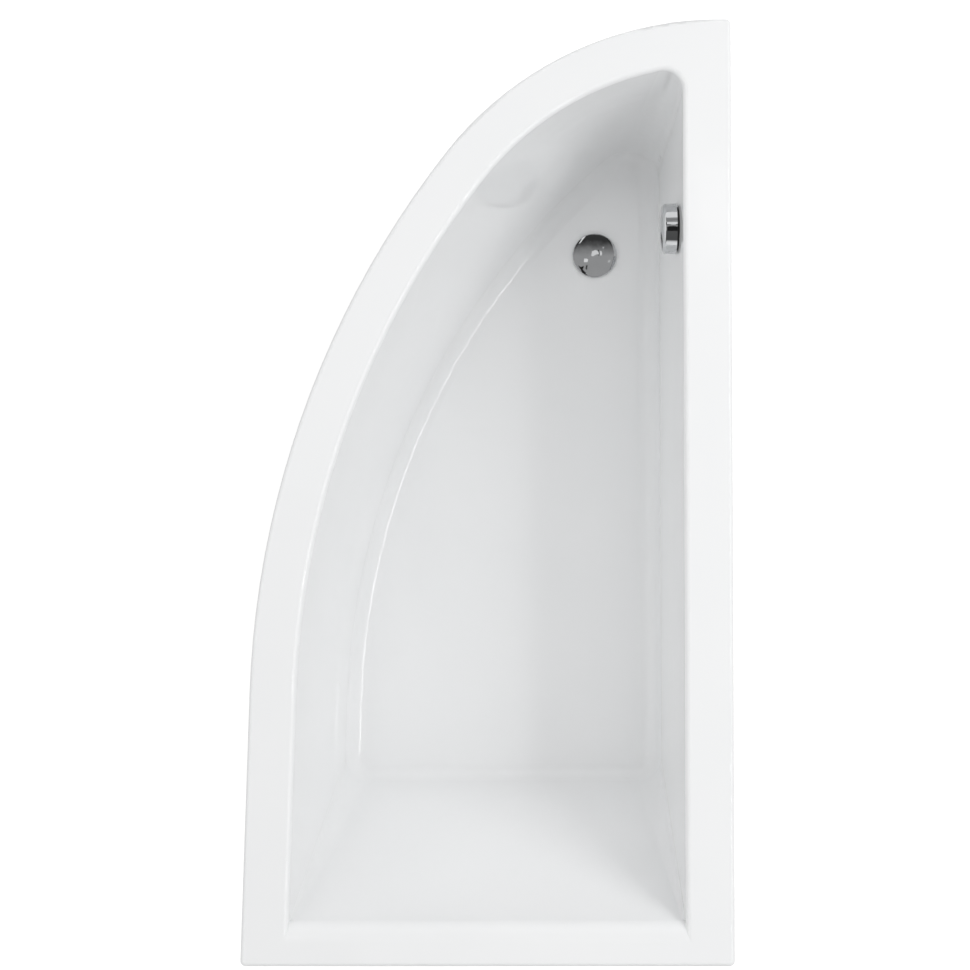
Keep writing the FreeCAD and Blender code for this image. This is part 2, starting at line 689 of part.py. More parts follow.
def drain_body():
    """Waste cup with its flange, the inlet that runs to the overflow pipe, and the outlet neck."""
    bottom = CUP_FLOOR - CUP_WALL
    cup_r = CUP_BORE_R + CUP_WALL
    outside = [
        (NECK_LOW, 0), (NECK_LOW, OUTLET_R), (bottom, OUTLET_R), (bottom + CUP_WALL, cup_r),
        (CUP_TOP - CUP_FLANGE_T, cup_r), (CUP_TOP - CUP_FLANGE_T, FLANGE_R),
        (CUP_TOP, FLANGE_R), (CUP_TOP, 0),
    ]
    shoe_end = ROD_X + SHOE_BORE_R + SHOE_END_GAP
    tube = rod(SHOE_BORE_R + SHOE_WALL, at_drain(SHOE_Z), V(shoe_end + SHOE_WALL, DRAIN_Y, SHOE_Z))
    socket = rod(SOCKET_R, at_pipe(SHOE_Z), at_pipe(SHOE_TOP))
    pivot = V(PIVOT_X, DRAIN_Y, SHOE_Z)
    half = V(0, SHOE_BORE_R + SHOE_WALL, 0)
    past = V(0, OVERRUN, 0)
    boss = rod(ROCKER_PIN_HEAD_R, pivot - half, pivot + half)
    body = turned(outside, at_drain(0), UP).fuse([tube, socket, boss])
    cuts = [
        rod(CUP_BORE_R, at_drain(CUP_FLOOR), at_drain(CUP_TOP + OVERRUN)),
        rod(OUTLET_BORE_R, at_drain(NECK_LOW - OVERRUN), at_drain(CUP_FLOOR + OVERRUN)),
        rod(SHOE_BORE_R, at_drain(SHOE_Z), V(shoe_end, DRAIN_Y, SHOE_Z)),
        rod(SHOE_BORE_R, at_pipe(SHOE_Z), at_pipe(SHOE_TOP)),
        rod(SOCKET_BORE_R, at_pipe(SHOE_Z + SHOE_SHOULDER), at_pipe(SHOE_TOP + OVERRUN)),
        rod(ROCKER_PIN_R, pivot - half - past, pivot + half + past),
    ]
    return body.cut(cuts).removeSplitter()


def plug_cover():
    """Domed cover with a boss for the stem."""
    rise = PLUG_RISE - PLUG_EDGE
    dome_r = (PLUG_R ** 2 + rise ** 2) / (2 * rise)
    edge = PLUG_Z + PLUG_EDGE
    dome = Part.makeSphere(dome_r, at_drain(edge + rise - dome_r))
    cover = rod(PLUG_R, at_drain(PLUG_Z), at_drain(edge + rise + OVERRUN)).common(dome)
    cover = cover.fuse(rod(PLUG_BOSS_R, at_drain(PLUG_Z - PLUG_BOSS_LENGTH), at_drain(PLUG_Z + PLUG_EDGE)))
    hole = rod(STEM_R, at_drain(PLUG_Z - PLUG_BOSS_LENGTH - OVERRUN), at_drain(PLUG_Z + PLUG_HOLE_DEPTH))
    return cover.cut(hole).removeSplitter()


def plug_stem():
    """Stem with a round tip that rides on the rocker."""
    stem = rod(STEM_R, at_drain(STEM_TIP_Z), at_drain(PLUG_Z + PLUG_HOLE_DEPTH))
    return stem.fuse(Part.makeSphere(STEM_R, at_drain(STEM_TIP_Z))).removeSplitter()


def rocker_arm():
    """Lever with round ends and a pivot hub, tilted to its place at rest."""
    half = ARM_WIDTH / 2
    left = DRAIN_X - ARM_OVERHANG
    right = ROD_X + ARM_OVERHANG
    low = SHOE_Z - ARM_T / 2
    high = SHOE_Z + ARM_T / 2
    bar = block(V(left, DRAIN_Y - half, low), V(right, DRAIN_Y + half, high))
    ends = [rod(half, V(x, DRAIN_Y, low), V(x, DRAIN_Y, high)) for x in (left, right)]
    pivot = V(PIVOT_X, DRAIN_Y, SHOE_Z)
    side = V(0, ROCKER_HUB_WIDTH / 2, 0)
    past = V(0, OVERRUN, 0)
    hub = rod(ROCKER_HUB_R, pivot - side, pivot + side)
    bore = rod(ROCKER_PIN_R + FIT, pivot - side - past, pivot + side + past)
    arm = bar.fuse(ends + [hub]).cut(bore).removeSplitter()
    arm.rotate(pivot, V(0, 1, 0), -ROCKER_TILT)
    return arm


def rocker_pin():
    """Pivot pin through the inlet, with a head on each side."""
    pivot = V(PIVOT_X, DRAIN_Y, SHOE_Z)
    half = V(0, SHOE_BORE_R + SHOE_WALL, 0)
    head = V(0, ROCKER_PIN_HEAD_T, 0)
    heads = [
        rod(ROCKER_PIN_HEAD_R, pivot + half, pivot + half + head),
        rod(ROCKER_PIN_HEAD_R, pivot - half - head, pivot - half),
    ]
    return rod(ROCKER_PIN_R, pivot - half, pivot + half).fuse(heads).removeSplitter()


PIPE_LOW = SHOE_Z + SHOE_SHOULDER + GUIDE_T
PIPE_HIGH = KNOB_Z - HEAD_SHOULDER
HEAD_SOCKET_LOW = PIPE_HIGH - SOCKET_DEPTH
HEAD_BACK_X = ROD_X + SOCKET_R


def rod_guide():
    """Holed disc under the pipe that keeps the push rod in line."""
    low = at_pipe(SHOE_Z + SHOE_SHOULDER)
    high = at_pipe(PIPE_LOW)
    guide = ring(PIPE_R, ROD_R + FIT, low, high)
    middle = (PIPE_R - PIPE_WALL + ROD_R) / 2
    holes = []
    for i in range(GUIDE_HOLES):
        place = toward(360 / GUIDE_HOLES * i) * middle
        holes.append(rod(GUIDE_HOLE_R, low + place - UP * OVERRUN, high + place + UP * OVERRUN))
    return guide.cut(holes)


def pipe_nut(end, grip):
    """Union nut on a socket end: grip points up the socket, the lip holds the seal."""
    lip = end - grip * (SEAL_T + NUT_LIP)
    top = end + grip * NUT_GRIP
    nut = gripped(SOCKET_R + NUT_WALL, lip, top)
    thread = rod(SOCKET_R + THREAD_GAP, end - grip * SEAL_T, top + grip * OVERRUN)
    return nut.cut([thread, rod(SOCKET_BORE_R, lip - grip * OVERRUN, top)])


def overflow_body():
    """Head behind the wall: flange, round chamber with a closed back, and a socket for the pipe."""
    outer = HEAD_BORE_R + HEAD_WALL
    back = HEAD_BACK_X - HEAD_WALL
    chamber = rod(outer, at_knob(HEAD_X), at_knob(HEAD_BACK_X))
    flange = rod(HEAD_FLANGE_R, at_knob(HEAD_X), at_knob(HEAD_X + HEAD_FLANGE_T))
    socket = rod(SOCKET_R, at_pipe(HEAD_SOCKET_LOW), at_pipe(KNOB_Z))
    cuts = [
        rod(HEAD_BORE_R, at_knob(HEAD_X - OVERRUN), at_knob(back)),
        rod(PIPE_R - PIPE_WALL, at_pipe(HEAD_SOCKET_LOW), at_pipe(KNOB_Z)),
        rod(SOCKET_BORE_R, at_pipe(HEAD_SOCKET_LOW - OVERRUN), at_pipe(PIPE_HIGH)),
    ]
    return chamber.fuse([flange, socket]).cut(cuts).removeSplitter()


def overflow_gasket():
    """Tapered seal between the sloping wall and the upright flange."""
    return ring(HEAD_FLANGE_R, OVERFLOW_HOLE_R, at_knob(WALL_X), at_knob(HEAD_X)).cut(LAMINATE_OUT)


def face_gasket():
    """Tapered seal between the inside of the wall and the bush."""
    return ring(BUSH_FLANGE_R, OVERFLOW_HOLE_R, at_knob(BUSH_X), at_knob(HEAD_X)).common(WELL_IN)


def overflow_bush():
    """Flanged bush screwed into the head from inside the bath, with a spoked hub for the spindle."""
    outer = HEAD_BORE_R - THREAD_GAP
    bore = outer - BUSH_WALL
    flange = ring(BUSH_FLANGE_R, bore, at_knob(BUSH_X - BUSH_FLANGE_T), at_knob(BUSH_X))
    tail = ring(outer, bore, at_knob(BUSH_X), at_knob(HEAD_X + BUSH_REACH))
    hub = rod(BUSH_HUB_R, at_knob(BUSH_X), at_knob(BUSH_X + BUSH_HUB_LENGTH))
    arms = spokes(0, bore + BUSH_WALL / 2, at_knob(BUSH_X), at_knob(BUSH_X + SPOKE_DEPTH))
    hole = rod(SPINDLE_R + FIT, at_knob(KNOB_X), at_knob(HEAD_X))
    return flange.fuse([tail, hub] + arms).cut(hole).removeSplitter()


def overflow_knob():
    """Cup-shaped knob that hides the bush, with a domed face and a boss for the spindle."""
    front = KNOB_BACK_X - KNOB_DEPTH
    face_r = KNOB_R - KNOB_TAPER
    axis = V(1, 0, 0)
    dome_r = (face_r ** 2 + KNOB_DOME ** 2) / (2 * KNOB_DOME)
    ahead = front - OVERRUN
    outside = [(ahead, 0), (ahead, face_r), (KNOB_BACK_X, KNOB_R), (KNOB_BACK_X, 0)]
    solid = turned(outside, at_knob(0), axis).common(Part.makeSphere(dome_r, at_knob(front + dome_r)))
    dome = min(solid.Faces, key=lambda face: face.CenterOfMass.x)
    solid = solid.makeFillet(KNOB_EDGE_R, dome.OuterWire.Edges)
    inner = front + KNOB_DOME + KNOB_WALL
    past = KNOB_BACK_X + OVERRUN
    inside = [(inner, 0), (inner, face_r - KNOB_WALL), (past, KNOB_R - KNOB_WALL), (past, 0)]
    hollow = turned(inside, at_knob(0), axis)
    boss = rod(KNOB_BOSS_R, at_knob(inner - KNOB_WALL / 2), at_knob(KNOB_X))
    hole = rod(SPINDLE_R, at_knob(KNOB_X - SPINDLE_DEPTH), at_knob(KNOB_X + OVERRUN))
    return solid.cut(hollow).fuse(boss).cut([hole, knob_screw()]).removeSplitter()


def knob_screw():
    """Set screw that holds the knob on its spindle, from below."""
    place = at_knob(KNOB_X - SPINDLE_DEPTH / 2)
    return rod(SET_SCREW_R, place - UP * KNOB_BOSS_R, place - UP * SPINDLE_R).cut(knob_spindle())


CRANK_X = ROD_X - YOKE_T / 2 - YOKE_GAP


def knob_spindle():
    """Shaft from the knob to the crank."""
    return rod(SPINDLE_R, at_knob(KNOB_X - SPINDLE_DEPTH), at_knob(CRANK_X))


def crank():
    """Disc on the spindle with an off-centre pin, raised at rest."""
    disc = rod(CRANK_DISC_R, at_knob(CRANK_X - CRANK_DISC_T), at_knob(CRANK_X))
    swing = math.radians(KNOB_TURN / 2)
    away = V(0, CRANK_R * math.cos(swing), CRANK_R * math.sin(swing))
    pin_end = ROD_X + YOKE_T / 2 + YOKE_GAP
    pin = rod(CRANK_PIN_R, at_knob(CRANK_X - CRANK_DISC_T / 2) + away, at_knob(pin_end) + away)
    return disc.fuse(pin).cut(knob_spindle()).removeSplitter()


def push_rod():
    """Rod with a slotted yoke for the crank pin on top and a round tip on the rocker."""
    level = KNOB_Z + ROD_HALF_TRAVEL
    slot_half = CRANK_PIN_R + SLOT_GAP
    near = CRANK_R * math.cos(math.radians(KNOB_TURN / 2)) - slot_half
    far = CRANK_R + slot_half
    slot_low = V(ROD_X - YOKE_T / 2, DRAIN_Y + near, level - slot_half)
    slot_high = V(ROD_X + YOKE_T / 2, DRAIN_Y + far, level + slot_half)
    bar = V(0, YOKE_BAR, YOKE_BAR)
    yoke = block(V(slot_low.x, DRAIN_Y - YOKE_BAR, slot_low.z - YOKE_BAR), slot_high + bar)
    through = V(OVERRUN, 0, 0)
    yoke = yoke.cut(block(slot_low - through, slot_high + through))
    shaft = rod(ROD_R, at_pipe(ROD_TIP_Z), at_pipe(slot_low.z - YOKE_BAR / 2))
    return yoke.fuse([shaft, Part.makeSphere(ROD_TIP_R, at_pipe(ROD_TIP_Z))]).removeSplitter()


TRAP_TOP = NECK_LOW - SEAL_T
TRAP_TURN_Z = TRAP_GROUND_GAP + OUTLET_R + TRAP_BEND_R
TRAP_Y = DRAIN_Y + 2 * TRAP_BEND_R
OUTLET_Z = TRAP_TURN_Z + TRAP_ELBOW_R
COLLAR_X = DRAIN_X + TRAP_ELBOW_R + TRAP_COLLAR
OUTLET_END = WIDTH / 2 - OUTLET_SETBACK


def at_outlet(x):
    """Point on the outlet's axis."""
    return V(x, TRAP_Y, OUTLET_Z)


def trap_run(radius, extra):
    """Solid along the trap: down, round a half turn, and a quarter turn out to the wall side."""
    top = at_drain(TRAP_TOP + extra)
    drop = at_drain(TRAP_TURN_Z)
    deep = V(DRAIN_X, DRAIN_Y + TRAP_BEND_R, TRAP_TURN_Z - TRAP_BEND_R)
    rise = V(DRAIN_X, TRAP_Y, TRAP_TURN_Z)
    slant = math.sqrt(0.5) * TRAP_ELBOW_R
    elbow = rise + V(TRAP_ELBOW_R - slant, 0, slant)
    level = at_outlet(DRAIN_X + TRAP_ELBOW_R)
    path = [
        Part.makeLine(top, drop),
        Part.Arc(drop, deep, rise).toShape(),
        Part.Arc(rise, elbow, level).toShape(),
        Part.makeLine(level, at_outlet(COLLAR_X + extra)),
    ]
    section = Part.Wire(Part.makeCircle(radius, top, UP))
    return Part.Wire(path).makePipeShell([section], True, False)


def outlet_pipe():
    """Pipe stub to the wall side, with a stop bead past its coupling."""
    start = at_outlet(COLLAR_X + SEAL_T)
    bead = COLLAR_X + SEAL_T + SLEEVE_GRIP
    pipe = rod(OUTLET_R, start, at_outlet(OUTLET_END))
    pipe = pipe.fuse(rod(OUTLET_R + BEAD_HEIGHT, at_outlet(bead), at_outlet(bead + BEAD_WIDTH)))
    return pipe.cut(rod(OUTLET_BORE_R, start, at_outlet(OUTLET_END))).removeSplitter()


def sleeve(start, stop):
    """Faceted coupling over two pipe ends and the seal between them."""
    return gripped(OUTLET_R + SLEEVE_WALL, start, stop).cut(rod(OUTLET_R + THREAD_GAP, start, stop))


parts = {
    "bath_shell": bath_shell(),
    "shell_laminate": shell_laminate(),
    "base_board": base_board(),
    "rim_batten_wall": rim_batten_wall(),
    "rim_batten_head": rim_batten_head(),
    "adjuster_nuts": leg_nuts(BOARD_LOW - RAIL_WALL - LEG_NUT_T, BOARD_LOW - RAIL_WALL),
    "lock_nuts": leg_nuts(BOARD_LOW, BOARD_LOW + LEG_NUT_T),
    "drain_flange": drain_flange(),
    "drain_gasket_top": ring(FLANGE_R, WASTE_HOLE_R, at_drain(SEAT_Z), at_drain(FLANGE_Z)),
    "drain_gasket_bottom": ring(FLANGE_R, WASTE_HOLE_R, at_drain(CUP_TOP), at_drain(UNDER_SEAT_Z)),
    "drain_body": drain_body(),
    "plug_cover": plug_cover(),
    "plug_stem": plug_stem(),
    "plug_seal": ring(PLUG_SEAL_R, PLUG_SEAL_R - PLUG_SEAL_WIDTH, at_drain(FLANGE_TOP), at_drain(PLUG_Z)),
    "rocker_arm": rocker_arm(),
    "rocker_pin": rocker_pin(),
    "push_rod": push_rod(),
    "rod_guide": rod_guide(),
    "overflow_pipe": ring(PIPE_R, PIPE_R - PIPE_WALL, at_pipe(PIPE_LOW), at_pipe(PIPE_HIGH)),
    "pipe_nut_bottom": pipe_nut(at_pipe(SHOE_TOP), -UP),
    "pipe_nut_top": pipe_nut(at_pipe(HEAD_SOCKET_LOW), UP),
    "pipe_seal_bottom": ring(SOCKET_R, PIPE_R, at_pipe(SHOE_TOP), at_pipe(SHOE_TOP + SEAL_T)),
    "pipe_seal_top": ring(SOCKET_R, PIPE_R, at_pipe(HEAD_SOCKET_LOW - SEAL_T), at_pipe(HEAD_SOCKET_LOW)),
    "overflow_body": overflow_body(),
    "overflow_gasket": overflow_gasket(),
    "overflow_bush": overflow_bush(),
    "face_gasket": face_gasket(),
    "overflow_knob": overflow_knob(),
    "knob_screw": knob_screw(),
    "knob_spindle": knob_spindle(),
    "crank": crank(),
    "trap_bend": trap_run(OUTLET_R, 0).cut(trap_run(OUTLET_BORE_R, OVERRUN)).removeSplitter(),
    "trap_seal_inlet": ring(OUTLET_R, OUTLET_BORE_R, at_drain(TRAP_TOP), at_drain(NECK_LOW)),
    "trap_nut_inlet": sleeve(at_drain(TRAP_TOP - SLEEVE_GRIP), at_drain(NECK_LOW + SLEEVE_GRIP)),
    "outlet_seal": ring(OUTLET_R, OUTLET_BORE_R, at_outlet(COLLAR_X), at_outlet(COLLAR_X + SEAL_T)),
    "outlet_nut": sleeve(at_outlet(COLLAR_X - SLEEVE_GRIP), at_outlet(COLLAR_X + SEAL_T + SLEEVE_GRIP)),
    "outlet_pipe": outlet_pipe(),
}
for end, y in RAILS.items():
    parts["rail_" + end] = rail(y)
    parts["rail_screws_" + end] = rail_screws(y)
    for side, place in leg_places(y).items():
        parts["foot_stud_" + end + "_" + side] = foot_stud(place)
        parts["foot_pad_" + end + "_" + side] = foot_pad(place)

os.makedirs("parts", exist_ok=True)
for name, shape in parts.items():
    shape.exportStep("parts/" + name + ".step")
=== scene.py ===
import math

import bmesh
import bpy
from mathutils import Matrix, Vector


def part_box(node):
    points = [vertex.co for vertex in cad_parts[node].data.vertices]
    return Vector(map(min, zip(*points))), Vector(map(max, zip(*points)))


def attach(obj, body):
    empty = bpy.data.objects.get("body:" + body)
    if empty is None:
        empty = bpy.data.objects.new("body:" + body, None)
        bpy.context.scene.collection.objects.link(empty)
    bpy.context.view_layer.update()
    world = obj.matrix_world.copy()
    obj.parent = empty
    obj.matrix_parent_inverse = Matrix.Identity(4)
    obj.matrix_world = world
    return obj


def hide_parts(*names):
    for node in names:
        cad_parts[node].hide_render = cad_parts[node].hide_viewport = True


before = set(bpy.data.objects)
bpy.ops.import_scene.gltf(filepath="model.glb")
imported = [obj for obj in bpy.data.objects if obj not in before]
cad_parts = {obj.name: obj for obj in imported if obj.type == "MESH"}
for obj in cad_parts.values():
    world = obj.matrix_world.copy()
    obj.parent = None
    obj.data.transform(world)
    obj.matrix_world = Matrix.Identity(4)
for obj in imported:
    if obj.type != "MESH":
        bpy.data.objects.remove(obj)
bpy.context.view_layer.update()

# Camera, straight above the bath and a little towards the head
CAMERA_AT = (-0.00397, -0.18477, 4.580)
CAMERA_TILT = 0.0475
LENS_MM = 97.28
SENSOR_MM = 36.0
CLIP_END = 200.0

# Studio lights, each a soft panel: where it shines from, distance, length and width, watts.
# The mirrored ones only show in reflections, and the others only light. The strip stands just in front
# of the key, which would hide it from reflections at the same distance.
LIGHT_AIM = (0.05, -0.05, 0.35)
KEY_FROM = (0.526, -0.065, 0.848)
KEY_SIZE = (3.0, 0.25)
LIGHTS = {
    "key": (KEY_FROM, 4.0, KEY_SIZE, 14.5),
    "side_wall": ((0.652, 0.304, 0.695), 3.8, (1.6, 1.2), 26.5),
    "side_front": ((-0.719, 0.000, 0.695), 3.6, (2.2, 2.6), 10.5),
    "foot": ((0.000, 0.643, 0.766), 3.6, (2.2, 2.6), 4.0),
    "strip": (KEY_FROM, 3.9, KEY_SIZE, 22.0),
}
MIRRORED = ("strip",)

# Sky of the studio: its light rises from one level to the other between two heights, given as sines
SKY_HEIGHT = (0.10, 0.45)
SKY_LEVEL = (0.30, 0.75)

# Ceiling as reflections see it, white where it ends at the sides. Its level along the bath goes by the
# sine of the angle from straight up, towards the foot; a panel is x from and to, y from and to, level.
CEILING = [(-0.95, 1.0), (-0.86, 0.10), (-0.30, 0.11), (-0.24, 0.42), (0.13, 0.40), (0.18, 0.26),
           (0.22, 0.11), (0.25, 0.045), (0.345, 0.05), (0.40, 0.42), (0.51, 0.42), (0.54, 0.05),
           (0.57, 0.40), (0.68, 0.30), (0.74, 1.0)]
CEILING_SIDE = (0.50, 0.60)
PANELS = [
    (-0.105, -0.045, -0.300, 0.050, 0.02),
    (-0.105, -0.065, 0.240, 0.394, 1.00),
    (-0.041, -0.014, 0.081, 0.108, 1.00),
    (-0.032, -0.015, 0.025, 0.050, 0.05),
    (0.020, 0.100, 0.134, 0.169, 0.90),
    (0.066, 0.078, 0.128, 0.175, 0.02),
    (0.105, 0.114, 0.191, 0.200, 1.00),
    (0.146, 0.162, 0.080, 0.096, 0.65),
]

# Unevenness of the ceiling's edges: how far they stray, and how often
CEILING_BEND = 0.010
CEILING_WAVES = 22.0

# Floor: white to the eye, with the shadow of the bath left on it
FLOOR_HALF = 30.0
FLOOR_COLOUR = (0.50, 0.50, 0.50, 1)
FLOOR_ROUGH = 0.9
FLOOR_GLOW = 0.72
WHITE = (1, 1, 1, 1)

# Values between which nearly all of a noise lies
NOISE = (0.3, 0.7)

# Evenly spread patterns of the materials, in waves to the metre
SHEET_TINT = 5.0
SHEET_GLOSS = 40.0
SHEET_RIPPLE = 16.0
RESIN_CLOUDS = 9.0
BOARD_GRAIN = 260.0
PIGMENT_CLOUDS = 35.0
SPARK_TEXTURE = 1500.0

# Marks on the materials: the size of one along three axes, and the ways the glass strands are turned
STRAND = (0.055, 0.0035, 0.0035)
STRAND_TURNS = ((0.3, 0.2, 0.0), (0.1, -0.5, 1.1), (-0.4, 0.3, 2.1), (0.6, 1.2, 0.5))
CHIP = (0.009, 0.004, 0.0025)
GROWTH_LINE = (0.60, 0.007, 0.007)
FIBRE = (0.05, 0.0008, 0.0008)
SPANGLE = (0.011, 0.011, 0.011)
SCUFF = (0.08, 0.004, 0.004)
POLISH_MARK = (0.03, 0.03, 0.03)
LATHE_MARK = (0.004, 0.004, 0.0006)
DRAWN_MARK = (0.003, 0.003, 0.03)

# Refraction of the acrylic sheet
ACRYLIC_IOR = 1.49

# Plug: slope of its dome at the edge, rounding of the edge, the boss for the stem and its hole
PLUG_SLOPE = 0.080
PLUG_EDGE = 0.0010
PLUG_STEPS = 8
BOSS_RADIUS = 0.0080
BOSS_LENGTH = 0.0060
BOSS_HOLE = 0.0015
TURNED_STEPS = 96

# Screw thread of the legs
THREAD_PITCH = 0.00175
THREAD_DEPTH = 0.0010
THREAD_COLUMNS = 16
LEGS = ("head_front", "head_wall", "foot_front", "foot_wall")

# Nuts of the legs: their flat end as a share of the apothem, and half the angle of one side
NUT_APOTHEM = 0.0095
NUT_END = 0.97
NUT_BORE = 0.0061
NUT_COLUMNS = 48
NUT_CHAMFER = math.pi / 6
HALF_SIDE = math.pi / 6

# New meshes: edges sharper than this stay sharp, and points closer than this are one
SHARP_ANGLE = math.radians(20)
SAME_PLACE = 1e-6


def tree_of(name):
    """New node material, with its tree and its shader."""
    material = bpy.data.materials.new(name)
    material.use_nodes = True
    return material, material.node_tree, material.node_tree.nodes["Principled BSDF"]


def add(tree, kind, settings=None, **inputs):
    """New node with its settings and the values of its inputs, whose names have _ for a space."""
    node = tree.nodes.new(kind)
    for name, value in (settings or {}).items():
        setattr(node, name, value)
    for name, value in inputs.items():
        node.inputs[name.replace("_", " ")].default_value = value
    return node


def feed(tree, value, socket):
    """Input of a node from the output of another, or from a plain number."""
    if isinstance(value, (int, float)):
        socket.default_value = value
    else:
        tree.links.new(value, socket)


def joined(tree, operation, first, second):
    """One value from two, by the operation named."""
    node = add(tree, "ShaderNodeMath", {"operation": operation})
    feed(tree, first, node.inputs[0])
    feed(tree, second, node.inputs[1])
    return node.outputs[0]


def weighted(tree, first, first_weight, second, second_weight):
    """Sum of two values, each times its weight."""
    one = joined(tree, "MULTIPLY", first, first_weight)
    other = joined(tree, "MULTIPLY", second, second_weight)
    return joined(tree, "ADD", one, other)


def coordinates(tree, size=(1, 1, 1), turn=(0, 0, 0)):
    """Place on the piece in metres, turned and then divided by the size of the pattern."""
    place = add(tree, "ShaderNodeTexCoord")
    mapping = add(tree, "ShaderNodeMapping", {"vector_type": "TEXTURE"}, Scale=size, Rotation=turn)
    tree.links.new(place.outputs["Object"], mapping.inputs["Vector"])
    return mapping.outputs["Vector"]


def noise(tree, where, scale=1.0, detail=3.0):
    """Noise texture at a place."""
    node = add(tree, "ShaderNodeTexNoise", Scale=scale, Detail=detail)
    tree.links.new(where, node.inputs["Vector"])
    return node.outputs["Fac"]


def cells(tree, where):
    """Random value of each cell of a broken-up pattern."""
    node = add(tree, "ShaderNodeTexVoronoi", Scale=1.0)
    tree.links.new(where, node.inputs["Vector"])
    split = add(tree, "ShaderNodeSeparateColor")
    tree.links.new(node.outputs["Color"], split.inputs["Color"])
    return split.outputs["Red"]


def remap(tree, value, low, high, to_low, to_high):
    """Value carried from one range to another, held at its ends."""
    node = add(tree, "ShaderNodeMapRange", From_Min=low, From_Max=high, To_Min=to_low, To_Max=to_high)
    tree.links.new(value, node.inputs["Value"])
    return node.outputs["Result"]


def ramp(tree, value, stops):
    """Colour from a value, by stops of place and colour."""
    node = add(tree, "ShaderNodeValToRGB")
    elements = node.color_ramp.elements
    while len(elements) < len(stops):
        elements.new(0.5)
    for element, (place, colour) in zip(elements, stops):
        element.position = place
        element.color = (*colour, 1)
    tree.links.new(value, node.inputs["Fac"])
    return node.outputs["Color"]


def bump(tree, shader, height, distance, strength):
    """Surface relief from a height."""
    node = add(tree, "ShaderNodeBump", Strength=strength, Distance=distance)
    tree.links.new(height, node.inputs["Height"])
    tree.links.new(node.outputs["Normal"], shader.inputs["Normal"])


def surface(tree, shader, colour, rough):
    """Colour and roughness of a shader."""
    tree.links.new(colour, shader.inputs["Base Color"])
    tree.links.new(rough, shader.inputs["Roughness"])


def shaded(tree, shader, value, colours, rough):
    """Colour and roughness from one noise, each between two ends."""
    colour = ramp(tree, value, list(zip(NOISE, colours)))
    surface(tree, shader, colour, remap(tree, value, *NOISE, *rough))


def acrylic():
    """Glossy white sheet, with the faint waviness of a vacuum-formed surface."""
    material, tree, shader = tree_of("acrylic")
    shader.inputs["IOR"].default_value = ACRYLIC_IOR
    where = coordinates(tree)
    whites = ((0.905, 0.913, 0.918), (0.921, 0.926, 0.930))
    colour = ramp(tree, noise(tree, where, SHEET_TINT), list(zip(NOISE, whites)))
    surface(tree, shader, colour, remap(tree, noise(tree, where, SHEET_GLOSS), *NOISE, 0.03, 0.06))
    bump(tree, shader, noise(tree, where, SHEET_RIPPLE, detail=2.0), distance=0.0005, strength=0.12)
    return material


def laminate():
    """Sprayed glass fibre: chopped strands that lie every way in a cloudy resin."""
    material, tree, shader = tree_of("laminate")
    cloud = noise(tree, coordinates(tree), RESIN_CLOUDS, detail=4.0)
    strands = remap(tree, cloud, 0.2, 0.8, 0.0, 0.25)
    for turn in STRAND_TURNS:
        strand = noise(tree, coordinates(tree, STRAND, turn), detail=1.0)
        strands = joined(tree, "MAXIMUM", strands, remap(tree, strand, 0.60, 0.66, 0.0, 1.0))
    stops = [(0.0, (0.58, 0.55, 0.46)), (0.3, (0.66, 0.63, 0.55)), (1.0, (0.80, 0.78, 0.71))]
    surface(tree, shader, ramp(tree, strands, stops), remap(tree, strands, 0.0, 1.0, 0.55, 0.36))
    bump(tree, shader, weighted(tree, cloud, 3.0, strands, 0.4), distance=0.0012, strength=0.6)
    return material


def chipboard():
    """Pressed chips, each of its own shade, with darker flecks of bark."""
    material, tree, shader = tree_of("chipboard")
    chips = cells(tree, coordinates(tree, CHIP))
    grain = noise(tree, coordinates(tree), BOARD_GRAIN, detail=4.0)
    value = weighted(tree, chips, 0.7, grain, 0.3)
    stops = [(0.10, (0.20, 0.12, 0.06)), (0.25, (0.44, 0.30, 0.17)), (0.85, (0.68, 0.52, 0.33))]
    surface(tree, shader, ramp(tree, value, stops), remap(tree, value, 0.1, 0.9, 0.85, 0.65))
    bump(tree, shader, value, distance=0.0004, strength=0.6)
    return material


def timber(name, turn):
    """Sawn softwood: growth lines and fine fibres along the strip."""
    material, tree, shader = tree_of(name)
    lines = noise(tree, coordinates(tree, GROWTH_LINE, turn), detail=2.0)
    fibres = noise(tree, coordinates(tree, FIBRE, turn), detail=3.0)
    value = weighted(tree, lines, 0.7, fibres, 0.3)
    shaded(tree, shader, value, ((0.50, 0.32, 0.17), (0.78, 0.60, 0.38)), rough=(0.75, 0.55))
    bump(tree, shader, fibres, distance=0.0003, strength=0.5)
    return material


def zinc_steel():
    """Galvanised sheet, with the spangle of the zinc and light scuffs."""
    material, tree, shader = tree_of("zinc_steel")
    shader.inputs["Metallic"].default_value = 1.0
    spangle = cells(tree, coordinates(tree, SPANGLE))
    scuffs = noise(tree, coordinates(tree, SCUFF), detail=5.0)
    value = weighted(tree, spangle, 0.5, scuffs, 0.5)
    shaded(tree, shader, value, ((0.56, 0.57, 0.59), (0.74, 0.75, 0.76)), rough=(0.42, 0.24))
    bump(tree, shader, scuffs, distance=0.0001, strength=0.3)
    return material


def moulded(name, colours, rough, relief=0.00012):
    """Moulded plastic or rubber: cloudy pigment under a fine spark-eroded texture."""
    material, tree, shader = tree_of(name)
    where = coordinates(tree)
    shaded(tree, shader, noise(tree, where, PIGMENT_CLOUDS, detail=4.0), colours, rough)
    bump(tree, shader, noise(tree, where, SPARK_TEXTURE, detail=2.0), distance=relief, strength=0.35)
    return material


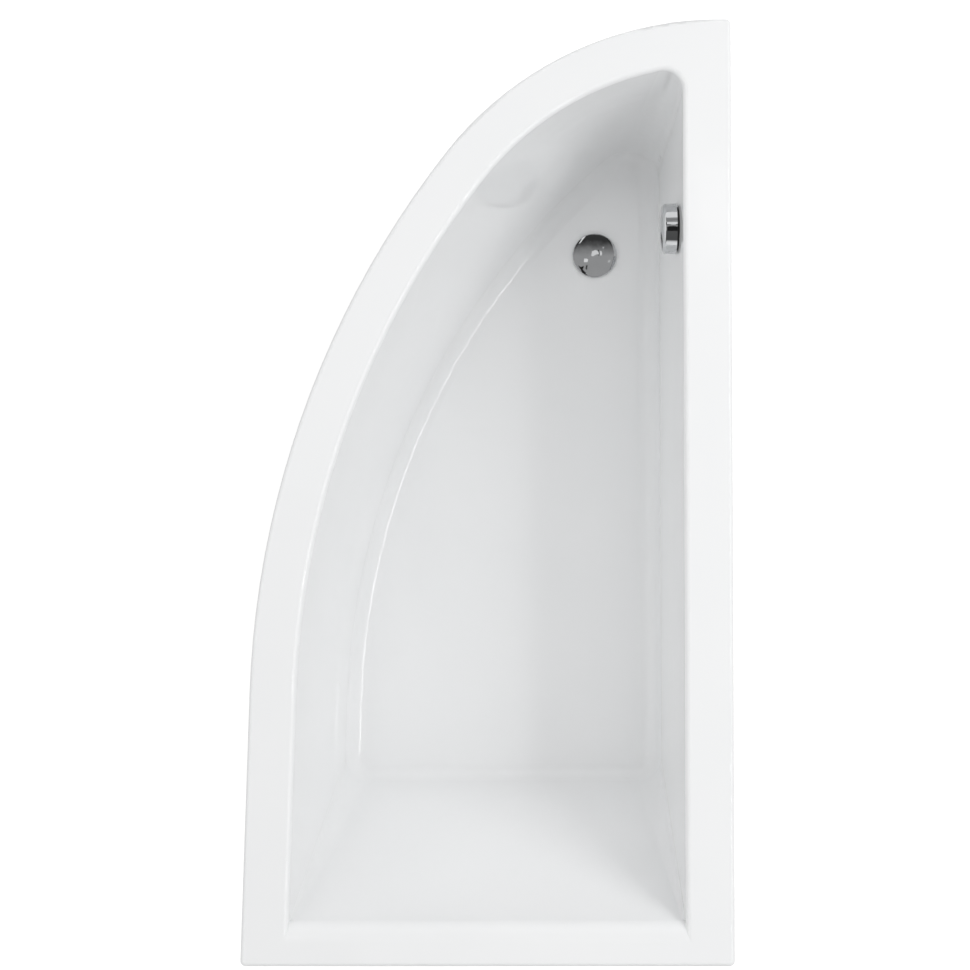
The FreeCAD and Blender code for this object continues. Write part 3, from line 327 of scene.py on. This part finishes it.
def worked(name, colours, rough, mark):
    """Metal with the fine marks of its working."""
    material, tree, shader = tree_of(name)
    shader.inputs["Metallic"].default_value = 1.0
    marks = noise(tree, coordinates(tree, mark), detail=4.0)
    shaded(tree, shader, marks, colours, rough)
    bump(tree, shader, marks, distance=0.00002, strength=0.3)
    return material


MATERIALS = {
    "acrylic": acrylic(),
    "laminate": laminate(),
    "chipboard": chipboard(),
    "timber": timber("timber", turn=(0, 0, math.pi / 2)),
    "zinc_steel": zinc_steel(),
    "pad_plastic": moulded("pad_plastic", ((0.028, 0.028, 0.030), (0.048, 0.048, 0.051)), (0.55, 0.42)),
    "chrome": worked("chrome", ((0.60, 0.61, 0.62), (0.64, 0.65, 0.66)), (0.02, 0.04), POLISH_MARK),
    "rubber": moulded("rubber", ((0.018, 0.018, 0.018), (0.034, 0.034, 0.034)), (0.72, 0.60), 0.0002),
    "waste_plastic": moulded("waste_plastic", ((0.76, 0.76, 0.75), (0.83, 0.83, 0.82)), (0.42, 0.32)),
    "nut_plastic": moulded("nut_plastic", ((0.68, 0.69, 0.70), (0.77, 0.78, 0.79)), (0.46, 0.36)),
    "brass": worked("brass", ((0.66, 0.47, 0.19), (0.80, 0.60, 0.29)), (0.38, 0.22), LATHE_MARK),
    "stainless": worked("stainless", ((0.52, 0.52, 0.51), (0.66, 0.66, 0.65)), (0.34, 0.20), DRAWN_MARK),
}

# The head batten lies across the bath, so its grain does too
NODE_MATERIALS = {"rim_batten_head": timber("timber_across", turn=(0, 0, 0))}


def dress_solids():
    """Every solid gets the material of its slot, or its own."""
    for name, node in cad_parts.items():
        for slot in node.material_slots:
            slot.material = NODE_MATERIALS.get(name, MATERIALS[slot.material.name.split(".")[0]])


def centre_of(node):
    """Middle of a solid's box."""
    low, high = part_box(node)
    return (Vector(low) + Vector(high)) / 2


def around(middle, angle, radius, z):
    """Point at an angle and a radius from an upright axis."""
    return (middle.x + radius * math.cos(angle), middle.y + radius * math.sin(angle), z)


def piece(name, mesh, material, body, *nodes):
    """New object from a mesh under work, which rides on a body and stands for some solids."""
    bmesh.ops.recalc_face_normals(mesh, faces=mesh.faces)
    data = bpy.data.meshes.new(name)
    mesh.to_mesh(data)
    mesh.free()
    data.shade_smooth()
    data.set_sharp_from_angle(angle=SHARP_ANGLE)
    data.materials.append(MATERIALS[material])
    obj = bpy.data.objects.new(name, data)
    bpy.context.scene.collection.objects.link(obj)
    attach(obj, body)
    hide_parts(*nodes)


def turned(profile, middle):
    """Mesh under work, turned round an upright axis from points of radius and height."""
    mesh = bmesh.new()
    line = [mesh.verts.new((middle.x + radius, middle.y, height)) for radius, height in profile]
    edges = [mesh.edges.new(pair) for pair in zip(line, line[1:])]
    bmesh.ops.spin(mesh, geom=line + edges, cent=middle, axis=(0, 0, 1), angle=2 * math.pi,
                   steps=TURNED_STEPS)
    bmesh.ops.remove_doubles(mesh, verts=mesh.verts, dist=SAME_PLACE)
    return mesh


def plug_disc():
    """Plug with a low dome and a rounded edge, on the boss that takes its stem."""
    low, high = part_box("plug_cover")
    stem_low, stem_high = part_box("plug_stem")
    outside = (high[0] - low[0]) / 2
    bore = (stem_high[0] - stem_low[0]) / 2
    bottom = low[2]
    top = high[2]
    under = bottom + BOSS_LENGTH
    tilt = math.atan(PLUG_SLOPE)
    dome = outside - PLUG_EDGE * (1 - math.sin(tilt))
    rise = PLUG_SLOPE * dome / 2
    edge = top - rise - PLUG_EDGE * math.cos(tilt)
    profile = []
    for step in range(PLUG_STEPS + 1):
        share = step / PLUG_STEPS
        profile.append((dome * share, top - rise * share ** 2))
    for step in range(1, PLUG_STEPS + 1):
        angle = tilt + (math.pi / 2 - tilt) * step / PLUG_STEPS
        profile.append((outside - PLUG_EDGE * (1 - math.sin(angle)), edge + PLUG_EDGE * math.cos(angle)))
    profile += [(outside, under), (BOSS_RADIUS, under), (BOSS_RADIUS, bottom), (bore, bottom),
                (bore, under + BOSS_HOLE), (0, under + BOSS_HOLE)]
    piece("plug_disc", turned(profile, centre_of("plug_cover")), "chrome", "plug", "plug_cover")


def threaded_stud(leg):
    """Leg screw with its thread as a helix, flat at both ends."""
    node = "foot_stud_" + leg
    low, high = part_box(node)
    middle = centre_of(node)
    crest = (high[0] - low[0]) / 2
    # Two rows to a turn, root and crest, and a turn to spare at each end
    rows = 2 * math.ceil((high[2] - low[2]) / THREAD_PITCH) + 4
    mesh = bmesh.new()
    grid = []
    for column in range(THREAD_COLUMNS):
        turn = column / THREAD_COLUMNS
        grid.append([])
        for row in range(rows):
            height = low[2] + (row / 2 + turn - 1) * THREAD_PITCH
            z = min(max(height, low[2]), high[2])
            radius = crest if row % 2 and z == height else crest - THREAD_DEPTH
            grid[-1].append(mesh.verts.new(around(middle, 2 * math.pi * turn, radius, z)))
    # The last column meets the first one turn, so two rows, further up
    for column in range(THREAD_COLUMNS):
        here = grid[column]
        beside = grid[(column + 1) % THREAD_COLUMNS]
        step = 2 if column + 1 == THREAD_COLUMNS else 0
        for row in range(rows - 1 - step):
            mesh.faces.new((here[row], beside[row + step], beside[row + step + 1], here[row + 1]))
    bmesh.ops.remove_doubles(mesh, verts=mesh.verts, dist=SAME_PLACE)
    bmesh.ops.holes_fill(mesh, edges=[edge for edge in mesh.edges if edge.is_boundary])
    piece("stud_" + leg, mesh, "zinc_steel", "leg_" + leg, node)


def hexagon_nuts(node):
    """Nuts of the four legs, with chamfered corners."""
    low, high = (corner[2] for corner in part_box(node))
    end = NUT_APOTHEM * NUT_END
    mesh = bmesh.new()
    for leg in LEGS:
        middle = centre_of("foot_stud_" + leg)
        grid = []
        for column in range(NUT_COLUMNS):
            angle = 2 * math.pi * column / NUT_COLUMNS
            off_flat = (angle + HALF_SIDE) % (2 * HALF_SIDE) - HALF_SIDE
            side = NUT_APOTHEM / math.cos(off_flat)
            drop = (side - NUT_APOTHEM) * math.tan(NUT_CHAMFER)
            profile = [(NUT_BORE, low), (end, low), (side, low + drop),
                       (side, high - drop), (end, high), (NUT_BORE, high)]
            grid.append([mesh.verts.new(around(middle, angle, *point)) for point in profile])
        for here, beside in zip(grid, grid[1:] + grid[:1]):
            for corners in zip(here, beside, beside[1:] + beside[:1], here[1:] + here[:1]):
                mesh.faces.new(corners)
    piece("chamfered_" + node, mesh, "zinc_steel", "bath", node)


def seen(tree):
    """One where the eye, a reflection or glass looks, zero for light that spreads."""
    path = add(tree, "ShaderNodeLightPath").outputs
    mirrored = joined(tree, "MAXIMUM", path["Is Glossy Ray"], path["Is Transmission Ray"])
    return joined(tree, "MAXIMUM", mirrored, path["Is Camera Ray"])


def floor():
    """Pale floor, whose own glow whitens it to the eye and in reflections."""
    mesh = bpy.data.meshes.new("floor")
    signs = ((-1, -1), (1, -1), (1, 1), (-1, 1))
    mesh.from_pydata([(x * FLOOR_HALF, y * FLOOR_HALF, 0) for x, y in signs], [], [(0, 1, 2, 3)])
    ground = bpy.data.objects.new("floor", mesh)
    bpy.context.scene.collection.objects.link(ground)
    material, tree, shader = tree_of("floor")
    shader.inputs["Base Color"].default_value = FLOOR_COLOUR
    shader.inputs["Roughness"].default_value = FLOOR_ROUGH
    shader.inputs["Specular IOR Level"].default_value = 0.0
    shader.inputs["Emission Color"].default_value = WHITE
    tree.links.new(joined(tree, "MULTIPLY", seen(tree), FLOOR_GLOW), shader.inputs["Emission Strength"])
    mesh.materials.append(material)


def blended(tree, factor, first, second):
    """One value or the other by a factor."""
    node = add(tree, "ShaderNodeMix")
    feed(tree, factor, node.inputs["Factor"])
    feed(tree, first, node.inputs["A"])
    feed(tree, second, node.inputs["B"])
    return node.outputs["Result"]


def within(tree, value, low, high):
    """One between two limits, zero outside."""
    node = add(tree, "ShaderNodeMath", {"operation": "COMPARE"})
    feed(tree, value, node.inputs[0])
    feed(tree, (low + high) / 2, node.inputs[1])
    feed(tree, (high - low) / 2, node.inputs[2])
    return node.outputs[0]


def sky_direction(tree):
    """Direction of a point of the sky, whole and by axis."""
    direction = add(tree, "ShaderNodeTexCoord").outputs["Generated"]
    split = add(tree, "ShaderNodeSeparateXYZ")
    tree.links.new(direction, split.inputs["Vector"])
    return direction, split.outputs


def ceiling(tree):
    """Level of the sky as reflections see it: dark bands along the bath and a few panels."""
    direction, axes = sky_direction(tree)
    bend = remap(tree, noise(tree, direction, CEILING_WAVES), *NOISE, -CEILING_BEND, CEILING_BEND)
    across = joined(tree, "ADD", axes["X"], bend)
    along = joined(tree, "ADD", axes["Y"], bend)
    stops = [((sine + 1) / 2, (level,) * 3) for sine, level in CEILING]
    level = ramp(tree, remap(tree, along, -1.0, 1.0, 0.0, 1.0), stops)
    for left, right, head, foot, bright in PANELS:
        inside = joined(tree, "MULTIPLY", within(tree, across, left, right), within(tree, along, head, foot))
        level = blended(tree, inside, level, bright)
    aside = add(tree, "ShaderNodeMath", {"operation": "ABSOLUTE"})
    tree.links.new(across, aside.inputs[0])
    return blended(tree, remap(tree, aside.outputs[0], *CEILING_SIDE, 0.0, 1.0), level, 1.0)


def sky():
    """Soft light, fainter near the horizon; white to the eye, with the ceiling in reflections."""
    world = bpy.data.worlds.new("studio")
    bpy.context.scene.world = world
    world.use_nodes = True
    tree = world.node_tree
    background = tree.nodes["Background"]
    background.inputs["Color"].default_value = WHITE
    path = add(tree, "ShaderNodeLightPath").outputs
    shown = blended(tree, path["Is Camera Ray"], ceiling(tree), 1.0)
    _, axes = sky_direction(tree)
    light = remap(tree, axes["Z"], *SKY_HEIGHT, *SKY_LEVEL)
    level = blended(tree, seen(tree), light, shown)
    tree.links.new(level, background.inputs["Strength"])


def studio_lights():
    """Soft panels aimed at the bath, their length level."""
    for name, (direction, distance, size, watts) in LIGHTS.items():
        light = bpy.data.lights.new(name, "AREA")
        light.shape = "RECTANGLE"
        light.size, light.size_y = size
        light.energy = watts
        lamp = bpy.data.objects.new(name, light)
        bpy.context.scene.collection.objects.link(lamp)
        towards = Vector(direction).normalized()
        lamp.location = Vector(LIGHT_AIM) + towards * distance
        lamp.rotation_euler = towards.to_track_quat("Z", "Y").to_euler()
        lamp.visible_glossy = name in MIRRORED
        lamp.visible_diffuse = name not in MIRRORED


def camera():
    """Camera at the place and angle of the picture."""
    data = bpy.data.cameras.new("camera")
    data.lens = LENS_MM
    data.sensor_width = SENSOR_MM
    data.clip_end = CLIP_END
    eye = bpy.data.objects.new("camera", data)
    bpy.context.scene.collection.objects.link(eye)
    eye.location = CAMERA_AT
    eye.rotation_euler = (CAMERA_TILT, 0, 0)
    bpy.context.scene.camera = eye


bpy.context.scene.view_settings.view_transform = "Standard"
dress_solids()
plug_disc()
for leg in LEGS:
    threaded_stud(leg)
hexagon_nuts("adjuster_nuts")
hexagon_nuts("lock_nuts")
floor()
sky()
studio_lights()
camera()
